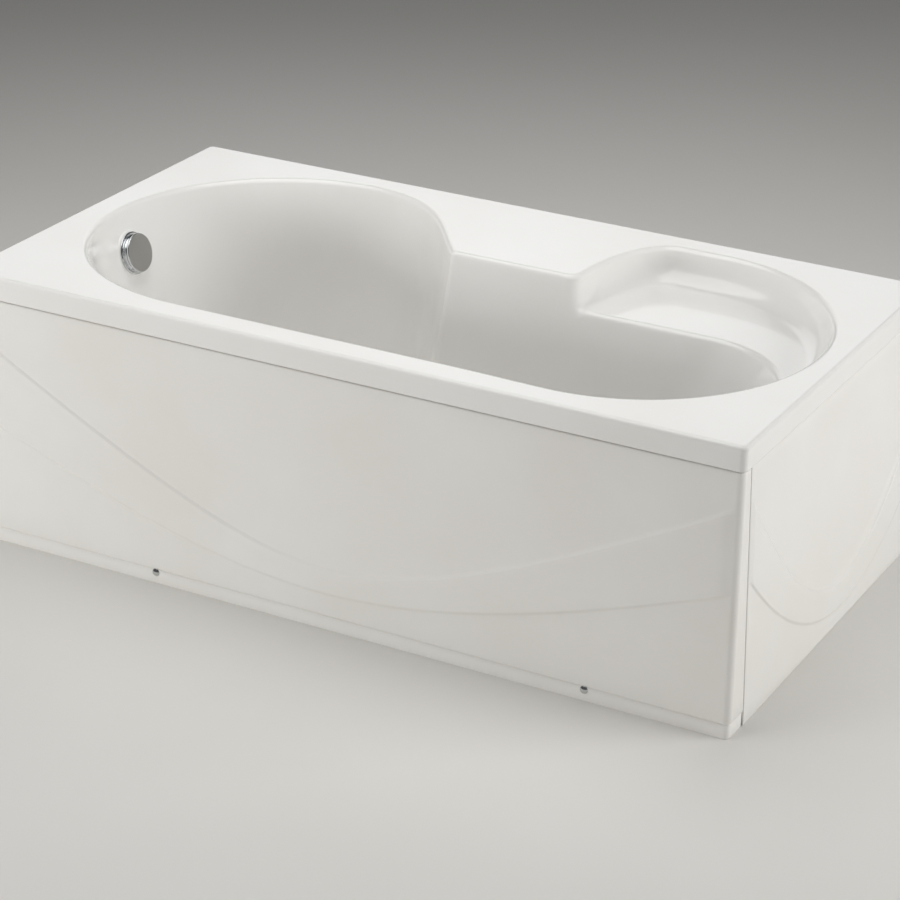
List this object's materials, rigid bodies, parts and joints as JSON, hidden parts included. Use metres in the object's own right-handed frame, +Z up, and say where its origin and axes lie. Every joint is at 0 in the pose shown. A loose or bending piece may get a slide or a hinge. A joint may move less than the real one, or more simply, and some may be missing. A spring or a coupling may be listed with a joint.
{
  "type": "bathtub",
  "caption": "Corner bathtub with ledge and shelf, apron panels with a crescent relief, steel frame on levelling feet, rotary overflow knob and pop-up waste.",
  "frame": {"origin": "on the floor, under the middle of the tub's overall rectangle", "axes": "+X to the head end along the length, -Y to the front panel, +Z up"},
  "size_m": [1.5, 0.8, 0.52],
  "materials": {
    "acrylic": "glossy sanitary acrylic, warm white",
    "panel_acrylic": "glossy sanitary acrylic, warm white",
    "board": "raw particle board",
    "timber": "sawn softwood",
    "frame_steel": "grey primed steel tube",
    "zinc_steel": "zinc-plated steel",
    "black_plastic": "moulded black polypropylene",
    "chrome": "polished chrome plate",
    "satin_chrome": "satin chrome plate, turned face",
    "brass": "turned brass",
    "white_plastic": "moulded white polypropylene",
    "cable_sheath": "black cable sheath",
    "rubber": "black sealing rubber"
  },
  "bodies": {
    "tub": {"tub_shell": "acrylic", "base_board": "board", "batten_front": "timber", "batten_back": "timber", "rail_front": "frame_steel", "rail_back": "frame_steel", "cross_bar_foot": "frame_steel", "cross_bar_1": "frame_steel", "cross_bar_2": "frame_steel", "cross_bar_3": "frame_steel", "cross_bar_head": "frame_steel", "post_front_foot": "frame_steel", "post_front_mid": "frame_steel", "post_front_head": "frame_steel", "post_back_foot": "frame_steel", "post_back_mid": "frame_steel", "post_back_head": "frame_steel", "weld_nuts": "frame_steel", "front_panel": "panel_acrylic", "end_panel": "panel_acrylic", "panel_clips": "zinc_steel", "panel_brackets": "zinc_steel", "end_brackets": "zinc_steel", "panel_screws": "chrome", "overflow_faceplate": "chrome", "overflow_gasket": "rubber", "overflow_body": "black_plastic", "hose_nut_top": "black_plastic", "hose_nut_bottom": "black_plastic", "overflow_hose": "white_plastic", "control_cable": "cable_sheath", "waste_flange": "chrome", "flange_gasket": "rubber", "waste_body": "black_plastic", "rocker_pin": "zinc_steel", "trap_cup": "black_plastic", "trap_nut": "black_plastic", "outlet_nut": "black_plastic", "outlet_pipe": "white_plastic"},
    "control": {"overflow_knob": "satin_chrome", "knob_spindle": "brass", "knob_cam": "white_plastic"},
    "plug": {"plug_cap": "chrome", "plug_seal": "rubber", "plug_stem": "brass"},
    "rocker": {"lift_rocker": "brass"},
    "foot_1": {"foot_rod_1": "zinc_steel", "foot_lock_nut_1": "zinc_steel", "foot_pad_1": "black_plastic"},
    "foot_2": {"foot_rod_2": "zinc_steel", "foot_lock_nut_2": "zinc_steel", "foot_pad_2": "black_plastic"},
    "foot_3": {"foot_rod_3": "zinc_steel", "foot_lock_nut_3": "zinc_steel", "foot_pad_3": "black_plastic"},
    "foot_4": {"foot_rod_4": "zinc_steel", "foot_lock_nut_4": "zinc_steel", "foot_pad_4": "black_plastic"}
  },
  "joints": [
    {"name": "knob_turn", "type": "hinge", "parent": "tub", "child": "control", "pos_m": [-0.66592, 0, 0.437], "axis": [0.9641, 0, 0.2655], "range_deg": [0, 90]},
    {"name": "plug_lift", "type": "slide", "parent": "tub", "child": "plug", "axis": [0, 0, 1], "range_m": [0, 0.01]},
    {"name": "rocker_swing", "type": "hinge", "parent": "tub", "child": "rocker", "pos_m": [-0.45, 0, 0.086], "axis": [0, -1, 0], "range_deg": [0, 30]},
    {"name": "foot_1_adjust", "type": "slide", "parent": "tub", "child": "foot_1", "axis": [0, 0, -1], "range_m": [0, 0.025]},
    {"name": "foot_2_adjust", "type": "slide", "parent": "tub", "child": "foot_2", "axis": [0, 0, -1], "range_m": [0, 0.025]},
    {"name": "foot_3_adjust", "type": "slide", "parent": "tub", "child": "foot_3", "axis": [0, 0, -1], "range_m": [0, 0.025]},
    {"name": "foot_4_adjust", "type": "slide", "parent": "tub", "child": "foot_4", "axis": [0, 0, -1], "range_m": [0, 0.025]}
  ],
  "couplings": [
    {"joint": "knob_turn", "follows": "plug_lift", "rad_per_m": 157.08},
    {"joint": "rocker_swing", "follows": "plug_lift", "rad_per_m": 52.36}
  ]
}
